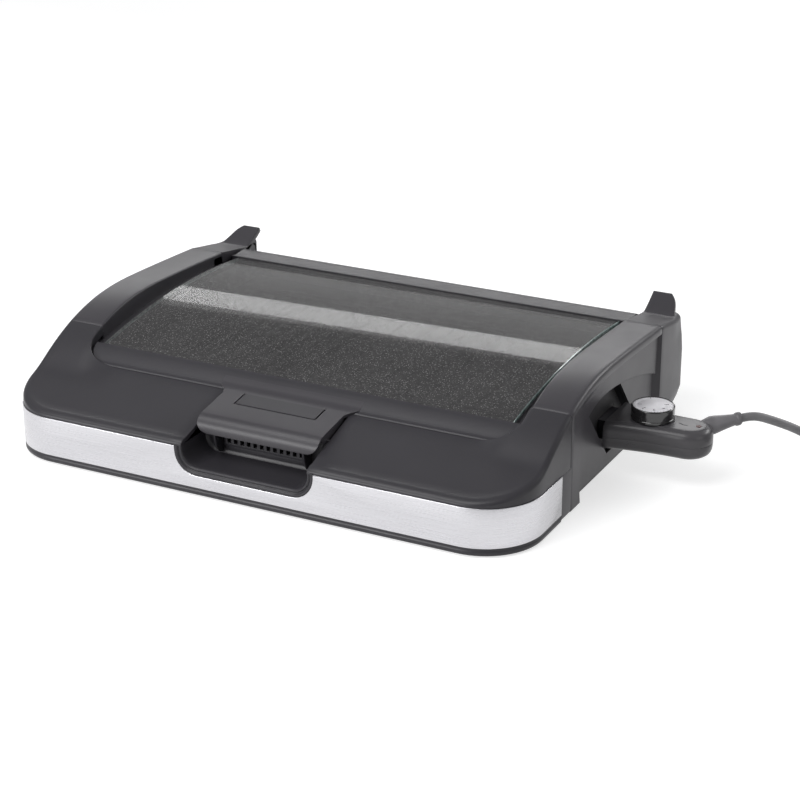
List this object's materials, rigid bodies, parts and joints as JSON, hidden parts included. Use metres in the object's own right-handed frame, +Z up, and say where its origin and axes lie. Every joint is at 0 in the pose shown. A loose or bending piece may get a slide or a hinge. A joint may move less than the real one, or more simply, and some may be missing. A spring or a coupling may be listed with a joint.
{
  "type": "electric grill",
  "caption": "Countertop electric grill with a bent glass lid that hinges and lifts off, a ribbed plate and a plug-in thermostat with a dial and mains cord.",
  "frame": {"origin": "on the table, under the middle of the housing's width and of the depth from its front face to the horn tips", "axes": "+X to the right as seen from the front, +Y to the back, +Z up"},
  "size_m": [0.8443, 0.413, 0.1095],
  "materials": {
    "dark_plastic": "fine-textured charcoal moulding",
    "arm_plastic": "satin charcoal moulding",
    "brushed_steel": "brushed along its length",
    "bright_steel": "plain",
    "rubber": "matt",
    "coated_plate": "non-stick coating",
    "element_sheath": "heat-darkened sheath",
    "lid_glass": "clear, greenish at the edge",
    "contact_brass": "plain",
    "switch_ceramic": "unglazed",
    "red_lens": "clear red",
    "dial_gloss": "polished black",
    "dial_silver": "satin silver with plain numbers",
    "cord_rubber": "matt"
  },
  "bodies": {
    "base": {"base_tray": "dark_plastic", "feet": "rubber", "base_screws": "bright_steel", "steel_band": "brushed_steel", "front_housing": "dark_plastic", "grip_recess": "dark_plastic", "vent_comb": "dark_plastic", "left_arm": "arm_plastic", "right_arm": "arm_plastic", "left_side_panel": "arm_plastic", "right_side_panel": "arm_plastic", "left_rear_post": "arm_plastic", "right_rear_post": "arm_plastic", "rear_panel": "dark_plastic", "plate_surround": "dark_plastic", "plate_supports": "dark_plastic", "heat_reflector": "bright_steel", "drip_tray": "bright_steel", "grill_plate": "coated_plate", "heating_element": "element_sheath", "element_clips": "bright_steel", "contact_pins": "bright_steel", "socket_shroud": "bright_steel"},
    "hinge_pins": {"left_hinge_pin": "bright_steel", "right_hinge_pin": "bright_steel"},
    "lid": {"lid_front_strip": "dark_plastic", "lid_handle": "arm_plastic", "handle_inlay": "dark_plastic", "glass_panel": "lid_glass", "lid_rear_strip": "dark_plastic", "glass_gasket": "rubber", "lid_bumpers": "rubber", "glass_clips": "bright_steel"},
    "thermostat": {"thermostat_upper_shell": "arm_plastic", "thermostat_lower_shell": "arm_plastic", "thermostat_nose": "dark_plastic", "temperature_feeler": "bright_steel", "contact_sleeves": "contact_brass", "thermostat_switch": "switch_ceramic", "pilot_lens": "red_lens", "thermostat_screws": "bright_steel", "strain_relief": "rubber", "cord": "cord_rubber", "cord_coil": "cord_rubber", "coil_tie": "rubber", "plug_body": "cord_rubber", "plug_pins": "bright_steel"},
    "dial": {"dial_knob": "dial_gloss", "dial_disc": "dial_silver", "dial_spindle": "bright_steel"}
  },
  "joints": [
    {"name": "lid_lift", "type": "slide", "parent": "base", "child": "hinge_pins", "axis": [0, 0, 1], "range_m": [0, 0.03]},
    {"name": "lid_hinge", "type": "hinge", "parent": "hinge_pins", "child": "lid", "pos_m": [0, 0.166, 0.088], "axis": [-1, 0, 0], "range_deg": [0, 95]},
    {"name": "thermostat_slide", "type": "slide", "parent": "base", "child": "thermostat", "axis": [1, 0, 0], "range_m": [0, 0.09]},
    {"name": "dial_turn", "type": "hinge", "parent": "thermostat", "child": "dial", "pos_m": [0.2905, 0.024, 0.06], "axis": [0, 0, -1], "range_deg": [0, 270]}
  ]
}
